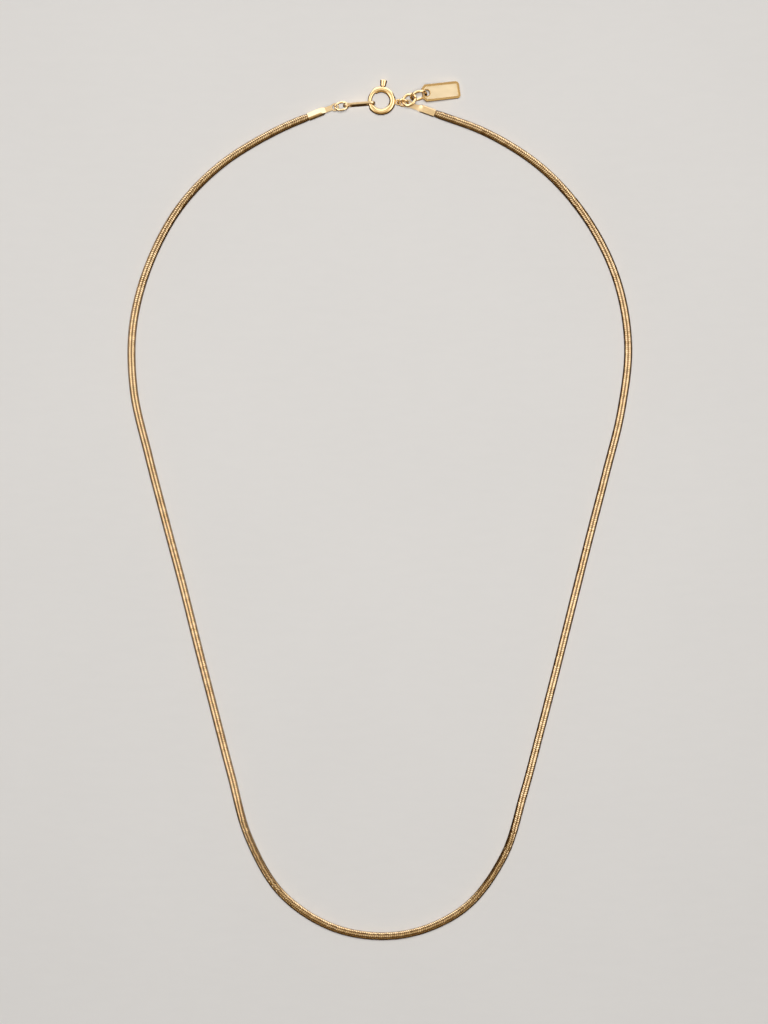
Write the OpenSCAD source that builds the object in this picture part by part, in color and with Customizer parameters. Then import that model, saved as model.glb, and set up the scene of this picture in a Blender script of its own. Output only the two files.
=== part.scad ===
// Snake chain necklace laid flat in a long drop, with a spring ring clasp,
// a connector tab, two end caps, jump rings and a small rim-edged tag.
// Millimetres. +X right, +Y towards the clasp, +Z up from the surface it lies on.

/* [Chain] */
// Outer diameter of the snake chain
chain_d = 1.7; // [1.2:0.1:2]
// Diameter of the squeezed chain end inside each end cap
core_d = 0.7; // [0.5:0.05:0.8]
// Length of the squeezed chain end inside each end cap
core_len = 2; // [1:0.1:2.4]

/* [End caps] */
// Distance from the mouth of the sleeve to the centre of the eye
cap_reach = 6; // [5:0.1:7]
// Length of the sleeve that grips the chain
sleeve_len = 2.8; // [2.6:0.1:3.2]
// Width of the sleeve, across the flat of the tongue
sleeve_w = 1.75; // [1.4:0.05:1.8]
// Height of the sleeve, through the flat of the tongue
sleeve_h = 1.2; // [1.15:0.05:1.4]
// Length over which the sleeve narrows to the tongue
taper_len = 1.1; // [0.6:0.1:1.6]
// Width of the tongue between sleeve and eye
waist_w = 1.1; // [0.8:0.05:1.3]
// Thickness of the tongue and its eye
tongue_t = 0.3; // [0.2:0.05:0.4]
// Diameter of the hole in the eye
eye_hole_d = 1.1; // [1:0.05:1.3]
// Width of metal round the hole in the eye
eye_rim = 0.28; // [0.2:0.02:0.36]
// Sideways step of the tongue from the axis of the sleeve
tongue_shift = 0.12; // [0:0.02:0.2]
// Width across the rounded edges of the sleeve, as a share of its diagonal
sleeve_round = 0.79; // [0.74:0.01:0.8]
// Clearance round the chain end in the bore of the cap
core_gap = 0.12; // [0.1:0.01:0.16]
// Gap between the chain's shoulder and the mouth of the cap
seam_gap = 0.2; // [0.16:0.01:0.25]

/* [Jump rings] */
// Outer diameter of the ring on the left
link_outer_d = 3.2; // [2.9:0.05:3.3]
// Outer diameter of the small ring on the clasp's eye
clasp_link_outer_d = 2.5; // [2.4:0.05:2.7]
// Outer diameter of the middle ring
middle_link_outer_d = 3.4; // [3.3:0.05:3.5]
// Outer diameter of the ring through the tag
tag_link_outer_d = 3.8; // [3.7:0.05:3.9]
// Wire diameter of the rings through the caps
link_wire_d = 0.44; // [0.36:0.02:0.46]
// Wire diameter of the middle ring and of the ring through the tag
heavy_wire_d = 0.58; // [0.5:0.02:0.6]

/* [Connector tab] */
// Distance between the two holes of the tab
tab_span = 4.7; // [4:0.1:6]
// Width of the tab, which stands on its long edge
tab_w = 2.1; // [2:0.05:2.4]
// Thickness of the tab
tab_t = 0.45; // [0.3:0.05:0.5]
// Diameter of both holes of the tab
tab_hole_d = 1.5; // [1.4:0.02:1.6]

/* [Spring ring] */
// Outer diameter of the spring ring
clasp_d = 6.1; // [5.8:0.1:7]
// Diameter of its tube
tube_d = 1.3; // [1.25:0.05:1.4]
// Diameter of the gate wire that slides in the tube
gate_d = 0.88; // [0.8:0.02:0.92]
// Running clearance between gate wire and bore
gate_clear = 0.08; // [0.06:0.01:0.1]
// Where the mouth of the ring starts, in degrees from +X
mouth_from = 126; // [120:1:135]
// Where the mouth of the ring ends
mouth_to = 212; // [210:1:216]
// Depth of the gate tip inside the far tube end, in degrees
tip_depth = 6; // [3:1:10]
// Where the lever stands when the gate is closed
lever_at = 83; // [80:1:90]
// Travel of the lever when the gate opens
lever_travel = 60; // [50:1:64]
// Width of the lever at its foot
lever_foot_d = 1.1; // [0.9:0.05:1.3]
// Width of the lever at its tip
lever_tip_d = 1.46; // [1.3:0.02:1.6]
// Distance from the ring's centre to the lever's tip
lever_reach = 4.4; // [4.2:0.1:5]
// Thickness of the stem that carries the lever through its slot
stem_d = 0.5; // [0.4:0.05:0.6]
// Centre-line diameter of the soldered eye
clasp_eye_d = 1.08; // [1:0.02:1.2]
// Wire diameter of the soldered eye
clasp_eye_wire = 0.3; // [0.26:0.02:0.34]
// Where the soldered eye sits
clasp_eye_at = -5; // [-12:1:2]

/* [Tag] */
// Length of the tag
tag_len = 8.1; // [7:0.1:10]
// Width of the tag
tag_w = 3.7; // [3.2:0.1:4.2]
// Thickness of the tag over its rim
tag_t = 0.55; // [0.45:0.05:0.6]
// Width of the raised rim
tag_rim = 0.5; // [0.3:0.05:0.6]
// Depth of the field inside the rim
tag_recess = 0.14; // [0.08:0.02:0.2]
// Radius of the two corners at the free end
tag_corner = 0.75; // [0.55:0.05:1]
// Chamfer of the two corners at the hole end
tag_chamfer = 0.7; // [0.3:0.05:0.9]
// Diameter of the hole
tag_hole_d = 1.4; // [1.36:0.02:1.5]
// Width of metal between hole and end, also round the hole
tag_hole_rim = 0.2; // [0.2:0.05:0.4]

/* [How it lies] */
// Centre of the spring ring, sideways
clasp_x = 0.3; // [-1:0.1:1]
// Centre of the spring ring, along the drop
clasp_y = 86.7; // [86:0.1:88]
// Where the tab crosses the gate wire, in degrees from +X
tab_at = 194; // [190:1:195]
// Heading of the tab
tab_yaw = 4.7; // [0:0.1:10]
// Lean of the tab from upright
tab_lean = 11; // [5:1:15]
// Heading and lean of the jump ring on the tab
left_link_pose = [9, -51];
// Heading and lean of the jump ring on the clasp's eye
right_link_pose = [-8, 54];
// Heading and lean of the middle ring that hangs the tag's ring on it
middle_link_pose = [25, -36];
// Heading and lean of the ring through the tag
tag_link_pose = [16, 64];
// Heading of the left cap, from mouth to eye
left_cap_yaw = 20; // [14:1:26]
// Heading of the right cap, from mouth to eye
right_cap_yaw = 160; // [154:0.5:165]
// Roll of the left cap on its own axis, with its near edge up
left_cap_roll = 4; // [0:1:8]
// Roll of the right cap on its own axis, with its far edge up
right_cap_roll = 6; // [0:1:10]
// Heading of the tag, from its hole to its free end
tag_yaw = 7; // [0:0.5:15]
// Roll of the tag, with its near edge up
tag_roll = 7; // [2:1:8]

/* [Hidden] */
$fn = 96;

// Sides of the tube that stands for the chain
chain_sides = 8;
// Steps between two points of the route: where it runs nearly straight, and where it bends
straight_steps = 2;
bend_steps = 3;
// A stretch that turns by more than this many degrees counts as a bend
bend_from = 12;
// Room that a leaning wire keeps in the thin holes of the caps and the tag
lean_room = 0.3;
// Room that it keeps in the deeper hole of the tab
tab_room = 0.5;
// Gap between the rings on either side of the middle ring, as a share of their two radii
middle_share = 0.37;
// Height of the middle ring's centre over the line between the rings beside it
middle_lift = 0.54;
// Tube wall left under the wire of the soldered eye
eye_bed = 0.03;

// The chain's own route, clockwise from the right cap to the left one
ROUTE = [[23, 79.7], [34.7, 72.1], [43.9, 61.6], [50.1, 49.1], [52.6, 35.3], [51.2, 21.4],
         [47.9, 7.8], [44.4, -5.8], [41, -19.3], [37.6, -32.9], [34.1, -46.5], [30.5, -60],
         [26.2, -73.4], [17.8, -84.4], [5, -89.9], [-8.8, -88.8], [-20.6, -81.4],
         [-27.7, -69.5], [-31.5, -56], [-35, -42.5], [-38.5, -28.9], [-41.9, -15.3],
         [-45.5, -1.8], [-49, 11.7], [-52.1, 25.4], [-52.2, 39.4], [-48.5, 52.9],
         [-41.7, 65], [-34, 72.8], [-24.8, 78.8]];

chain_r = chain_d / 2;
core_r = core_d / 2;
bore_r = core_r + core_gap;
eye_hole_r = eye_hole_d / 2;
link_wire_r = link_wire_d / 2;
link_r = link_outer_d / 2 - link_wire_r;
clasp_link_r = clasp_link_outer_d / 2 - link_wire_r;
heavy_wire_r = heavy_wire_d / 2;
middle_link_r = middle_link_outer_d / 2 - heavy_wire_r;
tag_link_r = tag_link_outer_d / 2 - heavy_wire_r;
tab_hole_r = tab_hole_d / 2;
tube_r = tube_d / 2;
clasp_r = clasp_d / 2 - tube_r;
gate_r = gate_d / 2;
gate_bore_r = gate_r + gate_clear;
tag_hole_r = tag_hole_d / 2;

// Unit vector at a heading and a rise
function heading(yaw, rise = 0) = [cos(rise) * cos(yaw), cos(rise) * sin(yaw), sin(rise)];
// How far a pulled wire sits from the centre of a hole
function seat(hole_r, room = lean_room, wire_r = link_wire_r) = max(0, hole_r - wire_r - room);
// Height at which a leaning jump ring touches the surface
function link_height(lean, r = link_r, wire_r = link_wire_r) = r * sin(abs(lean)) + wire_r;
// Rise of a straight piece whose far end is higher
function rise_of(from_z, to_z, reach) = asin((to_z - from_z) / reach);

// Spring ring: it rests on the lever's widest ring and, across from that, in the tab's hole
lever_edge = (lever_tip_d - stem_d) / 8;
lever_rest = (lever_reach - lever_edge) * sin(lever_at);
tab_hole_z = tab_w / 2 * cos(tab_lean) + tab_t / 2 * sin(tab_lean);
clasp_tilt = asin((tab_hole_z - lever_tip_d / 2) / (lever_rest - clasp_r * sin(tab_at)));
clasp_centre = [clasp_x, clasp_y, lever_tip_d / 2 + lever_rest * sin(clasp_tilt)];
function on_clasp(r, angle) = clasp_centre
    + r * [cos(angle), sin(angle) * cos(clasp_tilt), -sin(angle) * sin(clasp_tilt)];
clasp_eye_r = clasp_eye_d / 2;
clasp_eye_hole_r = clasp_eye_r - clasp_eye_wire / 2;
clasp_eye_reach = clasp_r + gate_bore_r + eye_bed + clasp_eye_r + clasp_eye_wire / 2;

// Left side, from the gate wire out to the chain
tab_hole_1 = on_clasp(clasp_r, tab_at);
tab_hole_2 = tab_hole_1 - tab_span * heading(tab_yaw);
left_link_dir = heading(left_link_pose[0]);
left_link_x = tab_hole_2 - (seat(tab_hole_r, tab_room) + link_r) * left_link_dir;
left_link = [left_link_x.x, left_link_x.y, link_height(left_link_pose[1])];
left_eye = left_link - (link_r + seat(eye_hole_r)) * left_link_dir;
left_cap_rise = rise_of(chain_r, left_eye.z, cap_reach);
left_mouth = left_eye - cap_reach * heading(left_cap_yaw, left_cap_rise);

// Right side, from the soldered eye out to the chain
clasp_eye = on_clasp(clasp_eye_reach, clasp_eye_at);
right_link_dir = heading(right_link_pose[0]);
right_link = clasp_eye + (clasp_link_r + seat(clasp_eye_hole_r)) * right_link_dir;
right_eye = right_link + (clasp_link_r + seat(eye_hole_r)) * right_link_dir;
right_cap_rise = rise_of(chain_r, right_eye.z, cap_reach);
right_mouth = right_eye - cap_reach * heading(right_cap_yaw, right_cap_rise);

// Tag and the two rings that carry it
link_sum = clasp_link_r + tag_link_r;
tag_link_xy = right_link + link_sum * (1 + middle_share) * heading(middle_link_pose[0]);
tag_link = [tag_link_xy.x, tag_link_xy.y, link_height(tag_link_pose[1], tag_link_r, heavy_wire_r)];
middle_link = right_link + clasp_link_r / link_sum * (tag_link - right_link) + [0, 0, middle_lift];
tag_hole = tag_link + (tag_link_r + seat(tag_hole_r, lean_room, heavy_wire_r)) * heading(tag_link_pose[0]);
tag_hole_in = tag_hole_r + tag_hole_rim;
tag_free = tag_len - tag_hole_in;
tag_drop = tag_w / 2 * sin(tag_roll) + tag_t / 2;
tag_fall = rise_of(tag_drop, tag_hole.z, tag_free);

// Smooth route through the points, with its ends square to the two caps
right_start = right_mouth - seam_gap * heading(right_cap_yaw);
left_end = left_mouth - seam_gap * heading(left_cap_yaw);
route = concat([[right_start.x, right_start.y]], ROUTE, [[left_end.x, left_end.y]]);
last = len(route) - 1;
function flat(v) = [v.x, v.y];
function unit(v) = v / norm(v);
function chord(i) = route[i + 1] - route[i];
function tangent(i) =
    i == 0 ? -flat(heading(right_cap_yaw)) :
    i == last ? flat(heading(left_cap_yaw)) :
    let (a = chord(i - 1), b = chord(i))
    (unit(a) * norm(b) + unit(b) * norm(a)) / (norm(a) + norm(b));
function span_point(i, t) =
    let (d = norm(chord(i)))
    (2 * t ^ 3 - 3 * t ^ 2 + 1) * route[i] + (t ^ 3 - 2 * t ^ 2 + t) * d * tangent(i)
    + (3 * t ^ 2 - 2 * t ^ 3) * route[i + 1] + (t ^ 3 - t ^ 2) * d * tangent(i + 1);
function turn(i) = acos(min(1, unit(tangent(i)) * unit(tangent(i + 1))));
function span_steps(i) = turn(i) > bend_from ? bend_steps : straight_steps;
line = concat([for (i = [0 : last - 1]) let (n = span_steps(i)) for (k = [0 : n - 1])
               span_point(i, k / n)], [route[last]]);
ends = len(line) - 1;
function line_dir(k) =
    k == 0 ? tangent(0) :
    k == ends ? tangent(last) :
    unit(unit(line[k + 1] - line[k]) + unit(line[k] - line[k - 1]));

// One section of the swept chain: centre, heading and radius
function section(at, dir, r) =
    [for (j = [0 : chain_sides - 1]) let (a = 360 * j / chain_sides)
     at + r * [-dir.y * cos(a), dir.x * cos(a), sin(a)]];
function raised(p) = [p.x, p.y, chain_r];
chain_rings = concat(
    [section(right_mouth + core_len * heading(right_cap_yaw, right_cap_rise), tangent(0), core_r),
     section(raised(line[0]), tangent(0), core_r)],
    [for (k = [0 : ends]) section(raised(line[k]), line_dir(k), chain_r)],
    [section(raised(line[ends]), tangent(last), core_r),
     section(left_mouth + core_len * heading(left_cap_yaw, left_cap_rise), tangent(last), core_r)]);

// Places a child whose +X runs at a heading and a rise, rolled about that line
module placed(at, yaw, rise = 0, roll = 0) {
    translate(at) rotate([roll, -rise, yaw]) children();
}

module on_clasp_frame() {
    translate(clasp_centre) rotate([-clasp_tilt, 0, 0]) children();
}

module torus(r, wire_r) {
    rotate_extrude() translate([r, 0]) circle(wire_r);
}

module snake_chain() {
    n = chain_sides;
    rings = len(chain_rings);
    points = [for (s = chain_rings) each s];
    sides = [for (k = [0 : rings - 2]) for (j = [0 : n - 1])
             [k * n + j, k * n + (j + 1) % n, (k + 1) * n + (j + 1) % n, (k + 1) * n + j]];
    first_end = [for (j = [n - 1 : -1 : 0]) j];
    last_end = [for (j = [0 : n - 1]) (rings - 1) * n + j];
    color("goldenrod") polyhedron(points, concat(sides, [first_end, last_end]));
}

// Folded cap: its plan and its side view, cut to each other
module end_cap() {
    neck_end = sleeve_len + taper_len;
    eye_r = eye_hole_r + eye_rim;
    difference() {
        intersection() {
            linear_extrude(sleeve_h, center = true) {
                polygon([[0, -sleeve_w / 2], [sleeve_len, -sleeve_w / 2],
                         [neck_end, tongue_shift - waist_w / 2],
                         [cap_reach, tongue_shift - waist_w / 2],
                         [cap_reach, tongue_shift + waist_w / 2],
                         [neck_end, tongue_shift + waist_w / 2],
                         [sleeve_len, sleeve_w / 2], [0, sleeve_w / 2]]);
                translate([cap_reach, 0]) circle(eye_r);
            }
            rotate([90, 0, 0]) linear_extrude(2 * sleeve_w, center = true)
                polygon([[0, -sleeve_h / 2], [sleeve_len, -sleeve_h / 2],
                         [neck_end, -tongue_t / 2], [cap_reach + eye_r, -tongue_t / 2],
                         [cap_reach + eye_r, tongue_t / 2], [neck_end, tongue_t / 2],
                         [sleeve_len, sleeve_h / 2], [0, sleeve_h / 2]]);
            rotate([0, 90, 0])
                cylinder(d = sleeve_round * norm([sleeve_w, sleeve_h]), h = cap_reach + eye_r);
        }
        translate([-seam_gap, 0, 0]) rotate([0, 90, 0]) cylinder(r = bore_r, h = core_len + 2 * seam_gap);
        translate([cap_reach, 0, 0]) cylinder(r = eye_hole_r, h = sleeve_h, center = true);
    }
}

module end_cap_left() {
    color("gold") placed(left_mouth, left_cap_yaw, left_cap_rise, -left_cap_roll) end_cap();
}

module end_cap_right() {
    color("gold") placed(right_mouth, right_cap_yaw, right_cap_rise, -right_cap_roll) end_cap();
}

module jump_ring_left() {
    color("goldenrod") placed(left_link, left_link_pose[0], 0, left_link_pose[1])
        torus(link_r, link_wire_r);
}

module jump_ring_right() {
    color("goldenrod") placed(right_link, right_link_pose[0], 0, right_link_pose[1])
        torus(clasp_link_r, link_wire_r);
}

module middle_ring() {
    fall = rise_of(right_link.z, tag_link.z, norm(tag_link - right_link));
    color("gold") placed(middle_link, middle_link_pose[0], fall, middle_link_pose[1])
        torus(middle_link_r, heavy_wire_r);
}

module tag_ring() {
    color("goldenrod") placed(tag_link, tag_link_pose[0], 0, tag_link_pose[1])
        torus(tag_link_r, heavy_wire_r);
}

// Oval plate with two holes, standing on its long edge
module connector_tab() {
    color("gold") placed(tab_hole_1, tab_yaw, 0, 90 - tab_lean) difference() {
        union() {
            translate([-tab_span, -tab_w / 2, -tab_t / 2]) cube([tab_span, tab_w, tab_t]);
            for (x = [-tab_span, 0])
                translate([x, 0, 0]) cylinder(d = tab_w, h = tab_t, center = true);
        }
        for (x = [-tab_span, 0])
            translate([x, 0, 0]) cylinder(r = tab_hole_r, h = 2 * tab_t, center = true);
    }
}

// Hollow open ring with the lever's slot and the eye soldered to its side
module spring_ring() {
    slot_half = (stem_d / 2 + gate_clear) / clasp_r * 180 / PI;
    slot_h = stem_d + 2 * gate_clear;
    color("goldenrod") on_clasp_frame() difference() {
        union() {
            rotate_extrude(angle = 360 - mouth_to + mouth_from, start = mouth_to - 360)
                translate([clasp_r, 0]) circle(tube_r);
            rotate([0, 0, clasp_eye_at]) translate([clasp_eye_reach, 0, 0])
                torus(clasp_eye_r, clasp_eye_wire / 2);
        }
        torus(clasp_r, gate_bore_r);
        rotate_extrude(angle = lever_travel + 2 * slot_half, start = lever_at - lever_travel - slot_half)
            translate([clasp_r, -slot_h / 2]) square([tube_d, slot_h]);
    }
}

// Gate wire with the lever that draws it back into the tube
module clasp_gate() {
    foot_at = clasp_r + tube_r + gate_clear;
    tail = stem_d / clasp_r * 180 / PI;
    color("gold") on_clasp_frame() {
        rotate_extrude(angle = mouth_to + tip_depth - lever_at + tail, start = lever_at - tail)
            translate([clasp_r, 0]) circle(gate_r);
        rotate([0, 0, lever_at]) rotate([0, 90, 0]) rotate_extrude()
            polygon([[0, clasp_r], [stem_d / 2, clasp_r], [stem_d / 2, foot_at],
                     [lever_foot_d / 2, foot_at], [lever_tip_d / 2, lever_reach - lever_edge],
                     [lever_tip_d / 2 - lever_edge, lever_reach], [0, lever_reach]]);
    }
}

// Outline of the tag, drawn in by a margin; its origin is the centre of the hole
module tag_outline(margin) {
    round_r = tag_corner - margin;
    low = tag_w / 2 - margin;
    start = margin - tag_hole_in;
    finish = tag_free - margin;
    cut = tag_chamfer - margin * (2 - sqrt(2));
    polygon([[start, cut - low], [start + cut, -low], [finish - round_r, -low],
             [finish - round_r, low], [start + cut, low], [start, low - cut]]);
    translate([finish - 2 * round_r, round_r - low]) square([2 * round_r, 2 * (low - round_r)]);
    for (side = [-1, 1])
        translate([finish - round_r, side * (low - round_r)]) circle(round_r);
}

module tag() {
    color("khaki") placed(tag_hole, tag_yaw, -tag_fall, -tag_roll) difference() {
        linear_extrude(tag_t, center = true) tag_outline(0);
        translate([0, 0, tag_t / 2 - tag_recess]) linear_extrude(tag_t) difference() {
            tag_outline(tag_rim);
            circle(tag_hole_in);
        }
        cylinder(r = tag_hole_r, h = 2 * tag_t, center = true);
    }
}

snake_chain();
end_cap_left();
end_cap_right();
jump_ring_left();
connector_tab();
spring_ring();
clasp_gate();
jump_ring_right();
middle_ring();
tag_ring();
tag();
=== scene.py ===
import math
import random

import bmesh
import bpy
import numpy as np
from mathutils import Matrix, Vector
from mathutils.geometry import interpolate_bezier


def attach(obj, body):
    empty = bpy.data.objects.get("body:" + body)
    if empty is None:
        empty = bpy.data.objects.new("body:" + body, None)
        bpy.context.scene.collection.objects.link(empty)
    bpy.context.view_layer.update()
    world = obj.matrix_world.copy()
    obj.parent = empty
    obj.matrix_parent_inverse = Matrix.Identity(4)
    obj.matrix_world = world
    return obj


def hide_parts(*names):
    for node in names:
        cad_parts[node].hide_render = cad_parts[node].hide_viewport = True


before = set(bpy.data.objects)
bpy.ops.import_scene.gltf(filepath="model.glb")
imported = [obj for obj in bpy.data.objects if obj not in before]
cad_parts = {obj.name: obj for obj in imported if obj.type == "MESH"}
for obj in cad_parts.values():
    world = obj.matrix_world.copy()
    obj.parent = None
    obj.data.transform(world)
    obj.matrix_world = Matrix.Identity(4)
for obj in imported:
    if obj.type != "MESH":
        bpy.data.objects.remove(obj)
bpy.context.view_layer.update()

bl_info = {
    "name": "Snake Chain Necklace",
    "version": (1, 0, 0),
    "blender": (4, 5, 0),
    "location": "View3D > Sidebar > Necklace",
    "description": "Dresses the packed necklace: fine links, softened metal, gold finishes and its stage",
    "category": "Object",
}

MM = 0.001
NECKLACE, GATE = "necklace", "gate"

# The photograph's frame, and the real width of one of its pixels at the chain's height
PHOTO_SIZE = (768, 1024)
PIXEL_MM = 0.2118
VIEW_CENTRE_MM = (0.9, -0.4)

# The chain's own route, clockwise from the right cap to the left one, in millimetres
ROUTE_MM = [
    (23, 79.7), (34.7, 72.1), (43.9, 61.6), (50.1, 49.1), (52.6, 35.3), (51.2, 21.4),
    (47.9, 7.8), (44.4, -5.8), (41, -19.3), (37.6, -32.9), (34.1, -46.5), (30.5, -60),
    (26.2, -73.4), (17.8, -84.4), (5, -89.9), (-8.8, -88.8), (-20.6, -81.4),
    (-27.7, -69.5), (-31.5, -56), (-35, -42.5), (-38.5, -28.9), (-41.9, -15.3),
    (-45.5, -1.8), (-49, 11.7), (-52.1, 25.4), (-52.2, 39.4), (-48.5, 52.9),
    (-41.7, 65), (-34, 72.8), (-24.8, 78.8),
]
# Where the chain meets the mouths of its caps, and the way each cap leads from there
RIGHT_END_MM, RIGHT_CAP_YAW = (11.82, 83.97), 160
LEFT_END_MM, LEFT_CAP_YAW = (-15.31, 83.18), 20


class ChainSizes(bpy.types.PropertyGroup):
    diameter: bpy.props.FloatProperty(
        name="Diameter",
        description="Outer diameter of the chain, in millimetres",
        default=1.7, min=0.8, max=3)
    pitch: bpy.props.FloatProperty(
        name="Pitch",
        description="Distance from one link to the next, in millimetres",
        default=0.42, min=0.2, max=1)
    gap: bpy.props.FloatProperty(
        name="Gap",
        description="Open groove between two links, in millimetres",
        default=0.045, min=0.01, max=0.2)
    wave: bpy.props.FloatProperty(
        name="Wave",
        description="How far each link's edge swings along the chain, in millimetres",
        default=0.14, min=0, max=0.4)
    bevel: bpy.props.FloatProperty(
        name="Bevel",
        description="Width of the rounded edge of a link, in millimetres",
        default=0.065, min=0.01, max=0.2)
    facets: bpy.props.IntProperty(
        name="Facets",
        description="Nearly flat sides round a link, two to a wave",
        default=8, min=4, max=12)
    flatness: bpy.props.FloatProperty(
        name="Flatness",
        description="How far the middle of a facet lies inside the round outline",
        subtype="FACTOR", default=0.03, min=0, max=0.1)
    looseness: bpy.props.FloatProperty(
        name="Looseness",
        description="Random turn of each link about the chain, in degrees",
        default=2.5, min=0, max=10)


class GoldColours(bpy.types.PropertyGroup):
    plate: bpy.props.FloatVectorProperty(
        name="Plate",
        description="Colour of the chain's gold plate",
        subtype="COLOR", size=3,
        default=(0.90, 0.71, 0.42), min=0, max=1)
    # Darker colour for cloudy wear on every finish, and also the painted shade in the chain's grooves,
    # folds and gripped ends
    shade: bpy.props.FloatVectorProperty(
        name="Shade",
        description="Colour of the plate where cloudy wear darkens it, and of the painted shade in the chain's grooves, folds and gripped ends",
        subtype="COLOR", size=3,
        default=(0.2, 0.105, 0.03), min=0, max=1)
    polish: bpy.props.FloatVectorProperty(
        name="Polish",
        description="Colour of the clasp, the rings and the tag's rim",
        subtype="COLOR", size=3,
        default=(0.82, 0.62, 0.33), min=0, max=1)
    brushed: bpy.props.FloatVectorProperty(
        name="Brushed",
        description="Colour of the folded caps and the tab",
        subtype="COLOR", size=3,
        default=(0.76, 0.6, 0.36), min=0, max=1)
    satin: bpy.props.FloatVectorProperty(
        name="Satin",
        description="Colour of the tag's matt field",
        subtype="COLOR", size=3,
        default=(0.8, 0.69, 0.47), min=0, max=1)
    chain_roughness: bpy.props.FloatProperty(
        name="Chain roughness",
        description="Roughness of the links",
        subtype="FACTOR", default=0.16, min=0, max=1)
    polish_roughness: bpy.props.FloatProperty(
        name="Polish roughness",
        description="Roughness of the clasp, the rings and the tag's rim",
        subtype="FACTOR", default=0.13, min=0, max=1)
    brushed_roughness: bpy.props.FloatProperty(
        name="Brushed roughness",
        description="Roughness of the folded caps and the tab",
        subtype="FACTOR", default=0.33, min=0, max=1)
    satin_roughness: bpy.props.FloatProperty(
        name="Satin roughness",
        description="Roughness of the tag's field",
        subtype="FACTOR", default=0.34, min=0, max=1)


class StageSettings(bpy.types.PropertyGroup):
    camera_height: bpy.props.FloatProperty(
        name="Camera height",
        description="Distance from the chain up to the camera",
        unit="LENGTH", default=1.2)
    paper: bpy.props.FloatVectorProperty(
        name="Paper",
        description="Colour of the sheet under the necklace",
        subtype="COLOR", size=3,
        default=(0.745, 0.72, 0.69), min=0, max=1)
    key_light: bpy.props.FloatProperty(
        name="Key light",
        description="Strength of the light from straight above that lights the sheet",
        default=1.46)
    camera_lamp: bpy.props.FloatProperty(
        name="Camera lamp",
        description="Power of the small lamp beside the camera, in watts",
        default=0.97)
    fill_light: bpy.props.FloatProperty(
        name="Fill light",
        description="Radiance of the even light round the sheet",
        default=0.1)
    backdrop: bpy.props.FloatProperty(
        name="Backdrop",
        description="Radiance of the pale wall that the camera sees beyond the sheet",
        default=0.6)
    window: bpy.props.FloatProperty(
        name="Window",
        description="Radiance of the wide window behind the clasp",
        default=2.2)
    softboxes: bpy.props.FloatProperty(
        name="Softboxes",
        description="Radiance of the two wide softboxes to the left and right",
        default=2.6)
    ceiling: bpy.props.FloatProperty(
        name="Ceiling",
        description="Radiance of the pale ceiling round the camera",
        default=1.1)
    reflector: bpy.props.FloatProperty(
        name="Reflector",
        description="Radiance of the small round reflector just behind the camera",
        default=1.7)
    south_wall: bpy.props.FloatProperty(
        name="South wall",
        description="Radiance of the grey wall across from the window",
        default=0.33)
    room: bpy.props.FloatProperty(
        name="Room",
        description="Radiance of the dim room",
        default=0.05)


# Shared ways of making meshes

DOUBLES_MM = 0.0005
FLAT_DEGREES = 1
BEVELLED_DEGREES = 24
SHADED_SHARP_DEGREES = 35
FLAT_FACE_WEIGHT = 100


def new_piece(name, bm, body, materials):
    """Turns a bmesh into a finished object at the origin that rides on a body."""
    mesh = bpy.data.meshes.new(name)
    bm.to_mesh(mesh)
    bm.free()
    for material in materials:
        mesh.materials.append(material)
    mesh.shade_smooth()
    piece = bpy.data.objects.new(name, mesh)
    bpy.context.collection.objects.link(piece)
    even = piece.modifiers.new("Flat faces stay flat", "WEIGHTED_NORMAL")
    even.weight = FLAT_FACE_WEIGHT
    even.keep_sharp = True
    mesh.set_sharp_from_angle(angle=math.radians(SHADED_SHARP_DEGREES))
    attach(piece, body)
    return piece


def merged_copy(node):
    """A bmesh of a CAD node with its doubles merged and its flat faces joined."""
    bm = bmesh.new()
    bm.from_mesh(bpy.data.objects[node].data)
    bmesh.ops.remove_doubles(bm, verts=bm.verts, dist=DOUBLES_MM * MM)
    bmesh.ops.dissolve_limit(
        bm, angle_limit=math.radians(FLAT_DEGREES), verts=bm.verts, edges=bm.edges, delimit={"NORMAL"})
    bm.normal_update()
    return bm


def round_edges(bm, width_mm):
    """Bevels every edge where two faces meet at a clear angle."""
    clear = math.radians(BEVELLED_DEGREES)
    sharp = [e for e in bm.edges if len(e.link_faces) == 2 and e.calc_face_angle() > clear]
    bmesh.ops.bevel(
        bm, geom=sharp, offset=width_mm * MM, offset_type="OFFSET", segments=3, profile=0.5,
        affect="EDGES", clamp_overlap=True, material=-1, loop_slide=True)


# Shader node groups and materials

# How much each of a link's attributes darkens it towards the shade colour: its name, the power of its
# falloff and its share. Edge and fold are painted shade in the grooves between links and along the facets'
# folds; link_tone is each link's own random tone
LINK_MARKS = (("edge", 1.0, 0.85), ("fold", 1.2, 0.95), ("link_tone", 1.0, 0.2))
CLOUD_MARK = (3.0, 0.4)
SCRATCH_DEPTH_MM = 0.004
# Sizes of the shared wear: waves of each pattern in a metre, and how the hairlines are drawn out
CLOUD_WAVES = 700
HAIR_WAVES = 1500
HAIR_STRETCH = (1.0, 9.0, 4.0)
SMOOTHEST = 0.03


def socket(tree, name, way, kind, default=None):
    """A socket on the outside of a node group."""
    made = tree.interface.new_socket(name=name, in_out=way, socket_type=kind)
    if default is not None:
        made.default_value = default


def math_node(tree, operation, *values):
    """The result of a sum of numbers and sockets."""
    node = tree.nodes.new("ShaderNodeMath")
    node.operation = operation
    for slot, value in zip(node.inputs, values):
        if isinstance(value, (int, float)):
            slot.default_value = value
        else:
            tree.links.new(value, slot)
    return node.outputs[0]


def noise_node(tree, vector, scale, detail=2.0, rough=0.5):
    """A cloudy pattern between 0 and 1."""
    node = tree.nodes.new("ShaderNodeTexNoise")
    node.inputs["Scale"].default_value = scale
    node.inputs["Detail"].default_value = detail
    node.inputs["Roughness"].default_value = rough
    tree.links.new(vector, node.inputs["Vector"])
    return node.outputs["Fac"]


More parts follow.
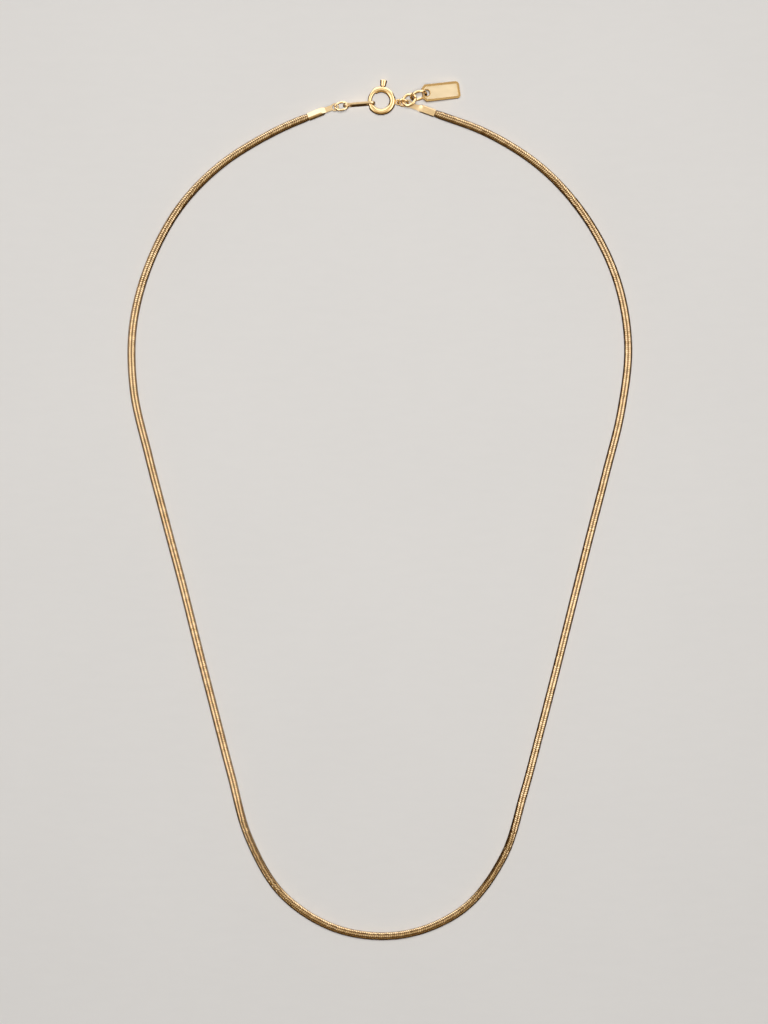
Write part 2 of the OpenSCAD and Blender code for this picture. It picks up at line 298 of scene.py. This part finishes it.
def plate_wear_group():
    """Fine hairlines and cloudy polish that every gold finish shares."""
    tree = bpy.data.node_groups.get("Plate wear")
    if tree:
        return tree
    tree = bpy.data.node_groups.new("Plate wear", "ShaderNodeTree")
    socket(tree, "Vector", "INPUT", "NodeSocketVector")
    socket(tree, "Roughness", "INPUT", "NodeSocketFloat", 0.15)
    socket(tree, "Wear", "INPUT", "NodeSocketFloat", 0.05)
    socket(tree, "Roughness", "OUTPUT", "NodeSocketFloat")
    socket(tree, "Height", "OUTPUT", "NodeSocketFloat")
    socket(tree, "Tone", "OUTPUT", "NodeSocketFloat")
    inlet = tree.nodes.new("NodeGroupInput")
    outlet = tree.nodes.new("NodeGroupOutput")
    clouds = noise_node(tree, inlet.outputs["Vector"], CLOUD_WAVES, 3)
    stretch = tree.nodes.new("ShaderNodeVectorMath")
    stretch.operation = "MULTIPLY"
    stretch.inputs[1].default_value = HAIR_STRETCH
    tree.links.new(inlet.outputs["Vector"], stretch.inputs[0])
    hairs = noise_node(tree, stretch.outputs[0], HAIR_WAVES, 4, 0.65)
    spread = math_node(tree, "MULTIPLY_ADD", clouds, 2.0, -1.0)
    change = math_node(tree, "MULTIPLY", spread, inlet.outputs["Wear"])
    fine = math_node(tree, "MULTIPLY", math_node(tree, "SUBTRACT", hairs, 0.5), inlet.outputs["Wear"])
    rough = math_node(tree, "ADD", math_node(tree, "ADD", inlet.outputs["Roughness"], change), fine)
    tree.links.new(math_node(tree, "MAXIMUM", rough, SMOOTHEST), outlet.inputs["Roughness"])
    tree.links.new(hairs, outlet.inputs["Height"])
    tree.links.new(clouds, outlet.inputs["Tone"])
    return tree


def gold_material(name, colour, shade, roughness, wear, bump, groove=False):
    """A plated gold finish, darkened towards its shade colour by cloudy wear; with groove, also by the
    link's own attributes, which paint shade into the grooves and along the folds and give each link its own
    random tone.
    """
    material = bpy.data.materials.new(name)
    material.use_nodes = True
    tree = material.node_tree
    shader = tree.nodes["Principled BSDF"]
    shader.inputs["Metallic"].default_value = 1.0
    coords = tree.nodes.new("ShaderNodeTexCoord")
    marks = tree.nodes.new("ShaderNodeGroup")
    marks.node_tree = plate_wear_group()
    marks.inputs["Roughness"].default_value = roughness
    marks.inputs["Wear"].default_value = wear
    tree.links.new(coords.outputs["Object"], marks.inputs["Vector"])
    tree.links.new(marks.outputs["Roughness"], shader.inputs["Roughness"])
    mix = tree.nodes.new("ShaderNodeMix")
    mix.data_type = "RGBA"
    mix.inputs["A"].default_value = (*colour, 1)
    mix.inputs["B"].default_value = (*shade, 1)
    cloud_power, cloud_share = CLOUD_MARK
    # Cloudy wear darkens every finish; on the chain the link marks below add painted shade
    wear_and_painted_shade = math_node(
        tree, "MULTIPLY", math_node(tree, "POWER", marks.outputs["Tone"], cloud_power), cloud_share)
    # Painted shade in the grooves and along the folds, plus each link's random tone
    if groove:
        for attribute, power, share in LINK_MARKS:
            mark = tree.nodes.new("ShaderNodeAttribute")
            mark.attribute_name = attribute
            tone_and_painted_shade = math_node(tree, "MULTIPLY", math_node(tree, "POWER", mark.outputs["Fac"], power), share)
            wear_and_painted_shade = math_node(tree, "ADD", wear_and_painted_shade, tone_and_painted_shade)
    factor = math_node(tree, "MINIMUM", wear_and_painted_shade, 1.0)
    tree.links.new(factor, mix.inputs["Factor"])
    tree.links.new(mix.outputs["Result"], shader.inputs["Base Color"])
    relief = tree.nodes.new("ShaderNodeBump")
    relief.inputs["Strength"].default_value = bump
    relief.inputs["Distance"].default_value = SCRATCH_DEPTH_MM * MM
    tree.links.new(marks.outputs["Height"], relief.inputs["Height"])
    tree.links.new(relief.outputs["Normal"], shader.inputs["Normal"])
    return material


# Each finish: its colour, its darker colour for wear and painted shade, its roughness, its wear and how far
# its hairlines show
FINISHES = {
    "Chain gold": ("plate", "shade", "chain_roughness", 0.05, 0.2),
    "Polished gold": ("polish", "shade", "polish_roughness", 0.05, 0.15),
    "Brushed gold": ("brushed", "shade", "brushed_roughness", 0.08, 0.3),
    "Satin gold": ("satin", "plate", "satin_roughness", 0.1, 0.6),
}


def finish(name):
    """The shared material of this name, made when it is first asked for."""
    made = bpy.data.materials.get(name)
    if made:
        return made
    gold = bpy.context.scene.necklace_gold
    colour, shade, roughness, wear, hairlines = FINISHES[name]
    return gold_material(
        name, getattr(gold, colour), getattr(gold, shade), getattr(gold, roughness), wear, hairlines,
        groove=name == "Chain gold")


# The chain

POINTS_PER_CHORD = 64


def route_points():
    """Evenly close points along the smooth route, with its total length, in millimetres."""
    points = [Vector(p) for p in [RIGHT_END_MM, *ROUTE_MM, LEFT_END_MM]]
    chords = [b - a for a, b in zip(points, points[1:])]

    def heading(yaw):
        return Vector((math.cos(math.radians(yaw)), math.sin(math.radians(yaw))))

    tangents = [-heading(RIGHT_CAP_YAW)]
    for before, after in zip(chords, chords[1:]):
        lengths = before.length, after.length
        tangents.append((before.normalized() * lengths[1] + after.normalized() * lengths[0]) / sum(lengths))
    tangents.append(heading(LEFT_CAP_YAW))
    line = []
    for i, chord in enumerate(chords):
        knob = chord.length / 3
        start, stop = points[i], points[i + 1]
        piece = interpolate_bezier(
            start, start + tangents[i] * knob, stop - tangents[i + 1] * knob, stop, POINTS_PER_CHORD)
        line += piece[:-1]
    line.append(points[-1])
    xy = np.array([(p.x, p.y) for p in line])
    along = np.concatenate([[0], np.cumsum(np.linalg.norm(np.diff(xy, axis=0), axis=1))])
    return xy, along


def link_bmesh(sizes):
    """One closed wavy link round the X axis: a flat band with a bevel to each side and a slim wall. Its
    edge and fold attributes mark where the chain's material paints shade into the grooves and along the
    folds.
    """
    half = (sizes.pitch - sizes.gap) / 2
    outer = sizes.diameter / 2
    low = outer - sizes.bevel
    rings = [(-half, low), (-half + sizes.bevel, outer), (half - sizes.bevel, outer), (half, low)]
    bm = bmesh.new()
    # Marks for painted shade: edge for the low rims in the grooves between links, fold for the facets'
    # folds
    edge = bm.verts.layers.float.new("edge")
    fold = bm.verts.layers.float.new("fold")
    turn = Matrix.Rotation(math.radians(90), 4, "Y")
    bmesh.ops.create_circle(bm, segments=2 * sizes.facets, radius=low * MM, matrix=turn)
    edges = list(bm.edges)
    first = edges
    for x, radius in rings[1:]:
        grown = bmesh.ops.extrude_edge_only(bm, edges=edges)["geom"]
        edges = [e for e in grown if isinstance(e, bmesh.types.BMEdge)]
        for v in {v for e in edges for v in e.verts}:
            spoke = Vector((0, v.co.y, v.co.z)).normalized() * radius * MM
            v.co = Vector((x * MM, spoke.y, spoke.z))
    for v in {v for e in first for v in e.verts}:
        v.co.x = rings[0][0] * MM
    bmesh.ops.bridge_loops(bm, edges=first + edges)
    for v in bm.verts:
        # Painted shade: the low rims get edge 1, and fold is 1 at each fold, fading to 0 mid-facet
        v[edge] = 1.0 if Vector((v.co.y, v.co.z)).length < (outer - sizes.bevel / 2) * MM else 0.0
        angle = math.atan2(v.co.z, v.co.y)
        swing = math.cos(sizes.facets / 2 * angle)
        v[fold] = abs(swing)
        v.co.x += sizes.wave * MM * swing
        pull = 1 - sizes.flatness * (1 - abs(swing))
        v.co.y *= pull
        v.co.z *= pull
    bmesh.ops.recalc_face_normals(bm, faces=bm.faces)
    return bm


def arrayed_links(name, link, count, sizes):
    """Many links in a row along X, joined in one mesh by an array."""
    maker = bpy.data.objects.new(name, link)
    bpy.context.collection.objects.link(maker)
    array = maker.modifiers.new("Links", "ARRAY")
    array.count = count
    array.use_relative_offset = False
    array.use_constant_offset = True
    array.constant_offset_displace = (sizes.pitch * MM, 0, 0)
    graph = bpy.context.evaluated_depsgraph_get()
    row = bpy.data.meshes.new_from_object(maker.evaluated_get(graph))
    bpy.data.objects.remove(maker)
    return row


def lay_links(row, count, places, sizes, seed):
    """Moves each link of a straight row to its own place along the route."""
    each = len(row.vertices) // count
    co = np.empty(len(row.vertices) * 3)
    row.vertices.foreach_get("co", co)
    co = co.reshape(count, each, 3)
    tones = row.attributes.new("link_tone", "FLOAT", "POINT")
    tone = np.empty((count, each))
    dice = random.Random(seed)
    for i, (x, y, yaw, grip, turn) in enumerate(places):
        co[i, :, 0] -= i * sizes.pitch * MM
        roll = turn + math.radians(dice.gauss(0, sizes.looseness))
        lean = math.radians(dice.gauss(0, sizes.looseness / 4))
        place = (Matrix.Translation((x * MM, y * MM, sizes.diameter / 2 * MM))
                 @ Matrix.Rotation(yaw + lean, 4, "Z") @ Matrix.Rotation(roll, 4, "X")
                 @ Matrix.Diagonal((1, grip, grip, 1)))
        m = np.array(place)
        co[i] = co[i] @ m[:3, :3].T + m[:3, 3]
        tone[i] = dice.random()
    row.vertices.foreach_set("co", co.reshape(-1))
    tones.data.foreach_set("value", tone.reshape(-1))
    row.update()


class NECKLACE_OT_snake_chain(bpy.types.Operator):
    """Lays the fine wavy links along the chain's route, from one cap to the other"""
    bl_idname = "necklace.snake_chain"
    bl_label = "Snake chain"

    STRETCHES = ("right_arch", "right_side", "left_side", "left_arch")
    # The last links are squeezed a little by the caps
    CRIMP_MM = 1.2
    CRIMP_GRIP = 0.9
    # In the upper and the lower bend the links lie rolled a little outwards
    BEND_ROLL = -16
    BEND_FROM_MM = 58
    BEND_BLEND_MM = 12
    # The chain's gripped end, and how far it reaches past the last link
    GRIPPED_RADIUS_MM = 0.62
    GRIPPED_LENGTH_MM = 1.2
    SEAM_MM = 0.19

    def execute(self, context):
        sizes = context.scene.necklace_chain
        xy, along = route_points()
        total = round(along[-1] / sizes.pitch)
        pitch = along[-1] / total
        centres = (np.arange(total) + 0.5) * pitch
        xs = np.interp(centres, along, xy[:, 0])
        ys = np.interp(centres, along, xy[:, 1])
        slope = np.unwrap(np.arctan2(np.gradient(xy[:, 1]), np.gradient(xy[:, 0])))
        yaws = np.interp(centres, along, slope)
        to_end = np.minimum(centres, along[-1] - centres)
        grips = self.CRIMP_GRIP + (1 - self.CRIMP_GRIP) * np.clip(to_end / self.CRIMP_MM, 0, 1)
        bend = (np.abs(ys) - self.BEND_FROM_MM) / self.BEND_BLEND_MM
        turn = self.BEND_ROLL * np.clip(bend, 0, 1)
        places = list(zip(xs, ys, yaws, grips, np.radians(turn)))
        link = bpy.data.meshes.new("link")
        bm = link_bmesh(sizes)
        bm.to_mesh(link)
        bm.free()
        cuts = np.linspace(0, total, len(self.STRETCHES) + 1).astype(int)
        for seed, (name, start, stop) in enumerate(zip(self.STRETCHES, cuts, cuts[1:])):
            row = arrayed_links(name, link, int(stop - start), sizes)
            lay_links(row, int(stop - start), places[start:stop], sizes, seed)
            row.materials.append(finish("Chain gold"))
            piece = bpy.data.objects.new(f"chain_links_{name}", row)
            context.collection.objects.link(piece)
            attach(piece, NECKLACE)
            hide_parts("snake_chain")
        self.gripped_end("left", LEFT_END_MM, LEFT_CAP_YAW, sizes)
        self.gripped_end("right", RIGHT_END_MM, RIGHT_CAP_YAW, sizes)
        return {"FINISHED"}

    def gripped_end(self, side, end, yaw, sizes):
        """The squeezed chain end inside the last links. Its edge mark is set everywhere, so it takes the
        chain's painted shade and shows as a dark seam at the cap's mouth.
        """
        bm = bmesh.new()
        edge = bm.verts.layers.float.new("edge")
        bmesh.ops.create_cone(
            bm, cap_ends=True, segments=24, radius1=self.GRIPPED_RADIUS_MM * MM,
            radius2=self.GRIPPED_RADIUS_MM * MM, depth=self.GRIPPED_LENGTH_MM * MM)
        past_end = (self.SEAM_MM - self.GRIPPED_LENGTH_MM / 2) * MM
        bmesh.ops.transform(bm, verts=bm.verts, matrix=(
            Matrix.Translation((end[0] * MM, end[1] * MM, sizes.diameter / 2 * MM))
            @ Matrix.Rotation(math.radians(yaw), 4, "Z") @ Matrix.Translation((past_end, 0, 0))
            @ Matrix.Rotation(math.radians(90), 4, "Y")))
        # Painted shade: the whole core is marked as groove, so it is painted in the shade colour
        for v in bm.verts:
            v[edge] = 1.0
        piece = new_piece(f"chain_end_{side}", bm, NECKLACE, [finish("Chain gold")])
        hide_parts("snake_chain")


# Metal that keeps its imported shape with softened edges

def softened(node, body, materials, width_mm=0.0):
    """Replaces a CAD node with the same shape, smoothly shaded, and with its sharp edges rounded when a
    width is given.
    """
    bm = merged_copy(node)
    if width_mm:
        round_edges(bm, width_mm)
    piece = new_piece(f"{node}_soft", bm, body, materials)
    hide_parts(node)
    return piece


class NECKLACE_OT_end_caps(bpy.types.Operator):
    """Softens the folded caps and the tab, and twists the caps' sleeves as pliers left them"""
    bl_idname = "necklace.end_caps"
    bl_label = "End caps and tab"

    # Along a cap from its mouth: where the sleeve's twist starts to fade, and where it is gone
    SLEEVE_MM = 2.8
    NECK_MM = 3.9
    SEAM_MM = 0.2
    LEFT_TWIST = -32
    RIGHT_TWIST = -2
    CAP_EDGE_MM = 0.06
    TAB_EDGE_MM = 0.07

    def execute(self, context):
        self.cap("end_cap_left", LEFT_END_MM, LEFT_CAP_YAW, self.LEFT_TWIST)
        self.cap("end_cap_right", RIGHT_END_MM, RIGHT_CAP_YAW, self.RIGHT_TWIST)
        softened("connector_tab", NECKLACE, [finish("Brushed gold")], self.TAB_EDGE_MM)
        return {"FINISHED"}

    def cap(self, node, end, yaw, twist):
        """A softened cap with its sleeve twisted by some degrees about the chain, but not its tongue."""
        bm = merged_copy(node)
        ahead = Vector((math.cos(math.radians(yaw)), math.sin(math.radians(yaw)), 0))
        start = Vector((*end, bpy.context.scene.necklace_chain.diameter / 2)) * MM
        for v in bm.verts:
            along = (v.co - start).dot(ahead) / MM - self.SEAM_MM
            share = 1 - min(max((along - self.SLEEVE_MM) / (self.NECK_MM - self.SLEEVE_MM), 0), 1)
            centre = start + ahead * (v.co - start).dot(ahead)
            v.co = centre + Matrix.Rotation(math.radians(twist) * share, 3, ahead) @ (v.co - centre)
        bm.normal_update()
        round_edges(bm, self.CAP_EDGE_MM)
        piece = new_piece(f"{node}_soft", bm, NECKLACE, [finish("Brushed gold")])
        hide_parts(node)


class NECKLACE_OT_clasp(bpy.types.Operator):
    """Smooths the spring ring and softens its gate"""
    bl_idname = "necklace.clasp"
    bl_label = "Spring ring clasp"

    GATE_EDGE_MM = 0.05

    def execute(self, context):
        softened("spring_ring", NECKLACE, [finish("Polished gold")])
        softened("clasp_gate", GATE, [finish("Polished gold")], self.GATE_EDGE_MM)
        return {"FINISHED"}


class NECKLACE_OT_jump_rings(bpy.types.Operator):
    """Smooths the four jump rings"""
    bl_idname = "necklace.jump_rings"
    bl_label = "Jump rings"

    def execute(self, context):
        for node in ("jump_ring_left", "jump_ring_right", "middle_ring", "tag_ring"):
            softened(node, NECKLACE, [finish("Polished gold")])
        return {"FINISHED"}


class NECKLACE_OT_tag(bpy.types.Operator):
    """Softens the tag and gives its field a satin finish inside the polished rim"""
    bl_idname = "necklace.tag"
    bl_label = "Tag"

    # Faces this far below the rim that look the tag's way belong to the field
    FIELD_DEPTH_MM = 0.05
    FIELD_FACING = 0.9
    EDGE_MM = 0.06

    def execute(self, context):
        bm = merged_copy("tag")
        widest = max(bm.faces, key=lambda f: f.calc_area() * (f.normal.z > 0))
        normal = widest.normal.copy()
        top = max(v.co.dot(normal) for v in bm.verts)
        for face in bm.faces:
            below_rim = face.calc_center_median().dot(normal) < top - self.FIELD_DEPTH_MM * MM
            in_field = below_rim and face.normal.dot(normal) > self.FIELD_FACING
            face.material_index = 1 if in_field else 0
        round_edges(bm, self.EDGE_MM)
        finishes = [finish("Polished gold"), finish("Satin gold")]
        piece = new_piece("tag_soft", bm, NECKLACE, finishes)
        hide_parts("tag")
        return {"FINISHED"}


# The stage

class NECKLACE_OT_stage(bpy.types.Operator):
    """Lays the pale sheet and sets the soft studio lights and the camera straight above"""
    bl_idname = "necklace.stage"
    bl_label = "Stage"

    SHEET_HALF_SIZE = 2.0
    SHEET_BELOW_MM = 0.01
    OVERHEAD_SPREAD = 14
    OVERHEAD_LEAN = -4
    LAMP_SIZE = 0.13
    LAMP_PLACE = (0, 0.03, 0.5)
    SENSOR_HEIGHT = 36
    NEAR_CLIP = 0.01
    CHAIN_MIDDLE_MM = 0.8
    # The sheet's fibres and patches, and its painted light: how much paler the sheet is painted towards the
    # clasp
    FIBRE_WAVES = 600
    PATCH_WAVES = 25
    FIBRE_STRETCH = (0.3, 1.0, 1.0)
    PATTERN_SHARE = 0.35
    PAINTED_LIGHT_Y = (-0.1, 0.1)
    PAINTED_LIGHT_SHARE = (-0.15, 0.45)

    # Where the metal sees each light: shares of the way east, north and up, or squared distances
    # from straight above, each from where the light starts or ends to where it is full
    WINDOW_NORTH, WINDOW_UP = (0.5, 0.75), (-0.95, -0.6)
    BOXES_SIDEWAYS, BOXES_UP, BOXES_NORTH = (0.28, 0.62), (0.22, 0.55), (-0.75, -0.1)
    BOXES_GAP, BOXES_SOUTH_SHARE = 0.02, 0.3
    WALL_NORTH, WALL_UP = (-0.05, -0.4), (-0.2, 0.2)
    OVERHEAD_UP = (0.0, 0.1)
    CEILING_EDGE, CEILING_CENTRE, CEILING_CENTRE_SHARE = (0.3, 0.15), (0.003, 0.02), 0.5
    REFLECTOR_PLACE_NORTH, REFLECTOR_EDGE = 0.09, (0.015, 0.005)
    # Dim light is warm, and bright light is nearly white
    TINTS = (
        (0.0, (1, 0.5, 0.12)), (0.2, (1, 0.72, 0.38)), (0.4, (1, 0.84, 0.6)), (0.8, (1, 0.98, 1.0)),
        (1.0, (1, 0.98, 1.05)),
    )

    def execute(self, context):
        stage = context.scene.necklace_stage
        self.sheet(context, stage)
        self.lights(context, stage)
        self.room(context, stage)
        self.camera(context, stage)
        context.scene.view_settings.view_transform = "Standard"
        return {"FINISHED"}

    def sheet(self, context, stage):
        bm = bmesh.new()
        bmesh.ops.create_grid(bm, x_segments=1, y_segments=1, size=self.SHEET_HALF_SIZE)
        bmesh.ops.translate(bm, vec=(0, 0, -self.SHEET_BELOW_MM * MM), verts=bm.verts)
        mesh = bpy.data.meshes.new("sheet")
        bm.to_mesh(mesh)
        bm.free()
        mesh.materials.append(self.paper(stage))
        sheet = bpy.data.objects.new("sheet", mesh)
        sheet.visible_glossy = False
        context.collection.objects.link(sheet)

    def paper(self, stage):
        """Matt paper with fine fibres and soft patches, and painted light that makes it paler towards the
        clasp.
        """
        material = bpy.data.materials.new("Laid paper")
        material.use_nodes = True
        tree = material.node_tree
        shader = tree.nodes["Principled BSDF"]
        shader.inputs["Roughness"].default_value = 0.9
        shader.inputs["Specular IOR Level"].default_value = 0.1
        coords = tree.nodes.new("ShaderNodeTexCoord")
        stretch = tree.nodes.new("ShaderNodeVectorMath")
        stretch.operation = "MULTIPLY"
        stretch.inputs[1].default_value = self.FIBRE_STRETCH
        tree.links.new(coords.outputs["Object"], stretch.inputs[0])
        fibres = noise_node(tree, stretch.outputs[0], self.FIBRE_WAVES, 5, 0.6)
        patches = noise_node(tree, coords.outputs["Object"], self.PATCH_WAVES, 2)
        split = tree.nodes.new("ShaderNodeSeparateXYZ")
        tree.links.new(coords.outputs["Object"], split.inputs[0])
        # Painted light: the paper's colour grows paler towards the clasp, standing in for light that falls
        # off away from it
        painted_light_towards_clasp = tree.nodes.new("ShaderNodeMapRange")
        reach = (*self.PAINTED_LIGHT_Y, *self.PAINTED_LIGHT_SHARE)
        for name, number in zip(("From Min", "From Max", "To Min", "To Max"), reach):
            painted_light_towards_clasp.inputs[name].default_value = number
        tree.links.new(split.outputs["Y"], painted_light_towards_clasp.inputs["Value"])
        tone = math_node(
            tree, "MULTIPLY_ADD", fibres, self.PATTERN_SHARE, painted_light_towards_clasp.outputs["Result"])
        tone = math_node(tree, "MULTIPLY_ADD", patches, self.PATTERN_SHARE, tone)
        mix = tree.nodes.new("ShaderNodeMix")
        mix.data_type = "RGBA"
        mix.inputs["A"].default_value = (*(c * 0.95 for c in stage.paper), 1)
        mix.inputs["B"].default_value = (*(min(c * 1.05, 1) for c in stage.paper), 1)
        tree.links.new(tone, mix.inputs["Factor"])
        tree.links.new(mix.outputs["Result"], shader.inputs["Base Color"])
        relief = tree.nodes.new("ShaderNodeBump")
        relief.inputs["Strength"].default_value = 0.15
        relief.inputs["Distance"].default_value = 0.05 * MM
        tree.links.new(fibres, relief.inputs["Height"])
        tree.links.new(relief.outputs["Normal"], shader.inputs["Normal"])
        return material

    def lights(self, context, stage):
        """Soft light from above and beside the camera for the sheet; the metal sees the room instead."""
        light = bpy.data.lights.new("overhead", "SUN")
        light.energy = stage.key_light
        light.angle = math.radians(self.OVERHEAD_SPREAD)
        overhead = bpy.data.objects.new("overhead", light)
        overhead.rotation_euler = (math.radians(self.OVERHEAD_LEAN), 0, 0)
        overhead.visible_glossy = False
        context.collection.objects.link(overhead)
        self.camera_lamp(context, stage.camera_lamp)

    def camera_lamp(self, context, power):
        """A small square lamp beside the camera that faces straight down."""
        light = bpy.data.lights.new("camera_lamp", "AREA")
        light.size = self.LAMP_SIZE
        light.energy = power
        lamp = bpy.data.objects.new("camera_lamp", light)
        lamp.location = self.LAMP_PLACE
        lamp.visible_glossy = False
        context.collection.objects.link(lamp)

    def room(self, context, stage):
        """Soft light all round for the sheet, and the studio's lights and dark corners for the metal."""
        world = bpy.data.worlds.new("Studio")
        world.use_nodes = True
        context.scene.world = world
        tree = world.node_tree
        background = tree.nodes["Background"]
        coords = tree.nodes.new("ShaderNodeTexCoord")
        split = tree.nodes.new("ShaderNodeSeparateXYZ")
        tree.links.new(coords.outputs["Generated"], split.inputs[0])
        east, north, up = split.outputs

        def ramp(value, reach, low=0.0, high=1.0):
            node = tree.nodes.new("ShaderNodeMapRange")
            node.interpolation_type = "SMOOTHSTEP"
            for name, number in zip(("From Min", "From Max", "To Min", "To Max"), (*reach, low, high)):
                node.inputs[name].default_value = number
            tree.links.new(value, node.inputs["Value"])
            return node.outputs["Result"]

        def both(first, second):
            return math_node(tree, "MULTIPLY", first, second)

        window = both(ramp(north, self.WINDOW_NORTH, 0.0, stage.window), ramp(up, self.WINDOW_UP))
        sideways = math_node(tree, "ABSOLUTE", east)
        boxes = both(
            ramp(sideways, self.BOXES_SIDEWAYS, self.BOXES_GAP),
            ramp(up, self.BOXES_UP, 0.0, stage.softboxes))
        boxes = both(boxes, ramp(north, self.BOXES_NORTH, self.BOXES_SOUTH_SHARE))
        south = both(ramp(north, self.WALL_NORTH, 0.0, stage.south_wall), ramp(up, self.WALL_UP))
        off_centre = math_node(tree, "ADD", both(east, east), both(north, north))
        ceiling = both(ramp(off_centre, self.CEILING_EDGE, 0.0, stage.ceiling), ramp(up, self.OVERHEAD_UP))
        ceiling = both(ceiling, ramp(off_centre, self.CEILING_CENTRE, self.CEILING_CENTRE_SHARE))
        behind = math_node(tree, "SUBTRACT", north, self.REFLECTOR_PLACE_NORTH)
        off_reflector = math_node(tree, "ADD", both(east, east), both(behind, behind))
        reflector = both(
            ramp(off_reflector, self.REFLECTOR_EDGE, 0.0, stage.reflector), ramp(up, self.OVERHEAD_UP))
        seen = math_node(tree, "ADD", math_node(tree, "MAXIMUM", window, boxes), south)
        seen = math_node(tree, "MAXIMUM", math_node(tree, "ADD", seen, stage.room), ceiling)
        seen = math_node(tree, "MAXIMUM", seen, reflector)
        tint = tree.nodes.new("ShaderNodeValToRGB")
        stops = tint.color_ramp.elements
        for place, _ in self.TINTS[1:-1]:
            stops.new(place)
        for stop, (_, colour) in zip(stops, self.TINTS):
            stop.color = (*colour, 1)
        tree.links.new(math_node(tree, "MULTIPLY", seen, 0.5), tint.inputs["Fac"])
        path = tree.nodes.new("ShaderNodeLightPath")
        strength = stage.fill_light
        for ray, value in (("Is Camera Ray", stage.backdrop), ("Is Glossy Ray", seen)):
            choice = tree.nodes.new("ShaderNodeMix")
            choice.data_type = "FLOAT"
            tree.links.new(path.outputs[ray], choice.inputs["Factor"])
            for name, source in (("A", strength), ("B", value)):
                if isinstance(source, float):
                    choice.inputs[name].default_value = source
                else:
                    tree.links.new(source, choice.inputs[name])
            strength = choice.outputs["Result"]
        tree.links.new(strength, background.inputs["Strength"])
        colour = tree.nodes.new("ShaderNodeMix")
        colour.data_type = "RGBA"
        colour.inputs["A"].default_value = (1.0, 0.985, 0.965, 1)
        tree.links.new(path.outputs["Is Glossy Ray"], colour.inputs["Factor"])
        tree.links.new(tint.outputs["Color"], colour.inputs["B"])
        tree.links.new(colour.outputs["Result"], background.inputs["Color"])

    def camera(self, context, stage):
        """A camera straight above whose picture takes in the photograph's frame."""
        data = bpy.data.cameras.new("camera")
        data.sensor_fit = "VERTICAL"
        data.sensor_height = self.SENSOR_HEIGHT
        data.lens = data.sensor_height * stage.camera_height / (PHOTO_SIZE[1] * PIXEL_MM * MM)
        data.clip_start = self.NEAR_CLIP
        camera = bpy.data.objects.new("camera", data)
        height = stage.camera_height + self.CHAIN_MIDDLE_MM * MM
        camera.location = (VIEW_CENTRE_MM[0] * MM, VIEW_CENTRE_MM[1] * MM, height)
        context.collection.objects.link(camera)
        context.scene.camera = camera


class NECKLACE_PT_pieces(bpy.types.Panel):
    """Lists the pieces of the necklace and the sizes and colours that they take"""
    bl_label = "Necklace"
    bl_idname = "NECKLACE_PT_pieces"
    bl_space_type = "VIEW_3D"
    bl_region_type = "UI"
    bl_category = "Necklace"

    def draw(self, context):
        for group in SETTINGS:
            settings = getattr(context.scene, group)
            box = self.layout.box()
            for name in settings.bl_rna.properties.keys():
                if name not in ("rna_type", "name"):
                    box.prop(settings, name)
        for operator in OPERATORS:
            self.layout.operator(operator.bl_idname)


SETTINGS = {"necklace_chain": ChainSizes, "necklace_gold": GoldColours, "necklace_stage": StageSettings}
OPERATORS = (
    NECKLACE_OT_stage, NECKLACE_OT_snake_chain, NECKLACE_OT_end_caps, NECKLACE_OT_clasp,
    NECKLACE_OT_jump_rings, NECKLACE_OT_tag,
)
CLASSES = (*SETTINGS.values(), *OPERATORS, NECKLACE_PT_pieces)


def register():
    for kind in CLASSES:
        bpy.utils.register_class(kind)
    for name, kind in SETTINGS.items():
        setattr(bpy.types.Scene, name, bpy.props.PointerProperty(type=kind))


def unregister():
    for name in SETTINGS:
        delattr(bpy.types.Scene, name)
    for kind in reversed(CLASSES):
        bpy.utils.unregister_class(kind)


def main():
    register()
    bpy.ops.necklace.stage()
    bpy.ops.necklace.snake_chain()
    bpy.ops.necklace.end_caps()
    bpy.ops.necklace.clasp()
    bpy.ops.necklace.jump_rings()
    bpy.ops.necklace.tag()


if __name__ == "__main__":
    main()
